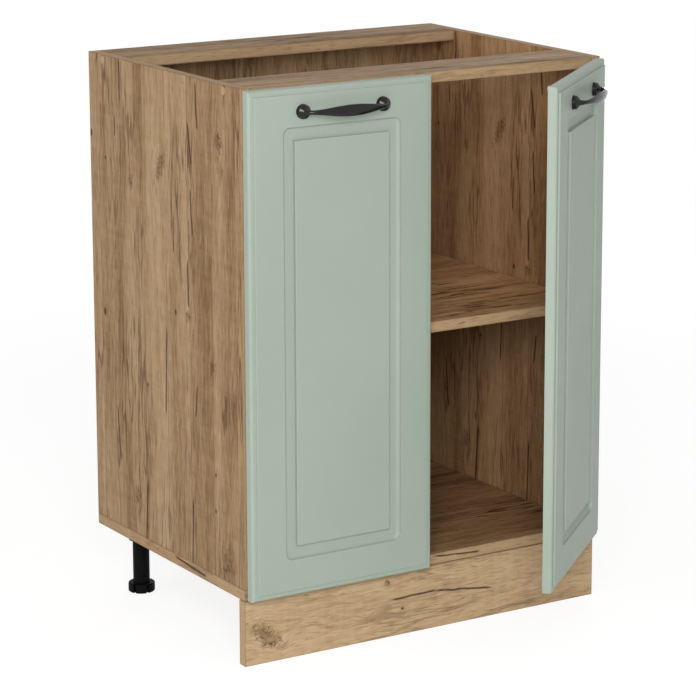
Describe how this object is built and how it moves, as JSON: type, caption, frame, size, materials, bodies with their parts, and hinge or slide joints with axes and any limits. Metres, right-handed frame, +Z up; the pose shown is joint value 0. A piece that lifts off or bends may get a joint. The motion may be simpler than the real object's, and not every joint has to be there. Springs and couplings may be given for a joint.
{
  "type": "kitchen base cabinet",
  "caption": "Floor-standing kitchen base cabinet with hinged framed doors, a loose shelf, open top rails, adjustable legs and a clip-on plinth.",
  "frame": {"origin": "on the floor, at mid width, in the plane of the carcass front (front lower edge of the plinth)", "axes": "+X to the right seen from the front, +Y back to the wall, +Z up"},
  "size_m": [0.6, 0.6543, 0.816],
  "materials": {
    "oak": "oak decor melamine on chipboard, matt, fine grain",
    "back_decor": "thin fibreboard with an oak decor",
    "sage": "sage green satin film over routed fibreboard",
    "black_metal": "black satin powder coat on cast metal",
    "black_plastic": "moulded black plastic",
    "cap_plastic": "wood-coloured plastic cap",
    "nickel": "nickel-plated pressed steel",
    "zinc": "zinc-plated steel screws and nails",
    "beech": "plain beech dowel",
    "bumper_rubber": "soft clear-grey bumper"
  },
  "bodies": {
    "carcass": {"left_side": "oak", "right_side": "oak", "bottom_panel": "oak", "front_rail": "oak", "rear_rail": "oak", "back_panel": "back_decor", "shelf_pins": "nickel", "confirmat_screws": "zinc", "back_panel_nails": "zinc", "leg_screws": "zinc", "hinge_plate_screws": "zinc", "hinge_arm_screws": "zinc", "screw_caps": "cap_plastic", "dowels": "beech", "leg_socket_front_left": "black_plastic", "leg_tube_front_left": "black_plastic", "leg_socket_front_right": "black_plastic", "leg_tube_front_right": "black_plastic", "leg_socket_rear_left": "black_plastic", "leg_tube_rear_left": "black_plastic", "leg_socket_rear_right": "black_plastic", "leg_tube_rear_right": "black_plastic", "left_upper_hinge_arm": "nickel", "left_upper_hinge_plate": "nickel", "left_lower_hinge_arm": "nickel", "left_lower_hinge_plate": "nickel", "right_upper_hinge_arm": "nickel", "right_upper_hinge_plate": "nickel", "right_lower_hinge_arm": "nickel", "right_lower_hinge_plate": "nickel"},
    "left_door": {"left_door": "sage", "left_handle": "black_metal", "left_handle_screws": "zinc", "left_cup_screws": "zinc", "left_door_bumpers": "bumper_rubber", "left_upper_hinge_cup": "nickel", "left_upper_hinge_pin": "nickel", "left_lower_hinge_cup": "nickel", "left_lower_hinge_pin": "nickel"},
    "right_door": {"right_door": "sage", "right_handle": "black_metal", "right_handle_screws": "zinc", "right_cup_screws": "zinc", "right_door_bumpers": "bumper_rubber", "right_upper_hinge_cup": "nickel", "right_upper_hinge_pin": "nickel", "right_lower_hinge_cup": "nickel", "right_lower_hinge_pin": "nickel"},
    "shelf": {"shelf": "oak"},
    "plinth": {"plinth": "oak", "plinth_clip_left": "black_plastic", "plinth_clip_right": "black_plastic", "plinth_clip_screws": "zinc"},
    "foot_front_left": {"leg_foot_front_left": "black_plastic"},
    "foot_front_right": {"leg_foot_front_right": "black_plastic"},
    "foot_rear_left": {"leg_foot_rear_left": "black_plastic"},
    "foot_rear_right": {"leg_foot_rear_right": "black_plastic"}
  },
  "joints": [
    {"name": "left_door_hinge", "type": "hinge", "parent": "carcass", "child": "left_door", "pos_m": [-0.291, -0.0135, 0.456], "axis": [0, 0, -1], "range_deg": [0, 100]},
    {"name": "right_door_hinge", "type": "hinge", "parent": "carcass", "child": "right_door", "pos_m": [0.291, -0.0135, 0.456], "axis": [0, 0, 1], "range_deg": [-41, 59]},
    {"name": "shelf_lift", "type": "slide", "parent": "carcass", "child": "shelf", "axis": [0, 0, 1], "range_m": [0, 0.2]},
    {"name": "plinth_pull", "type": "slide", "parent": "carcass", "child": "plinth", "axis": [0, -1, 0], "range_m": [0, 0.08]},
    {"name": "foot_front_left_screw", "type": "slide", "parent": "carcass", "child": "foot_front_left", "axis": [0, 0, -1], "range_m": [0, 0.02]},
    {"name": "foot_front_right_screw", "type": "slide", "parent": "carcass", "child": "foot_front_right", "axis": [0, 0, -1], "range_m": [0, 0.02]},
    {"name": "foot_rear_left_screw", "type": "slide", "parent": "carcass", "child": "foot_rear_left", "axis": [0, 0, -1], "range_m": [0, 0.02]},
    {"name": "foot_rear_right_screw", "type": "slide", "parent": "carcass", "child": "foot_rear_right", "axis": [0, 0, -1], "range_m": [0, 0.02]}
  ]
}
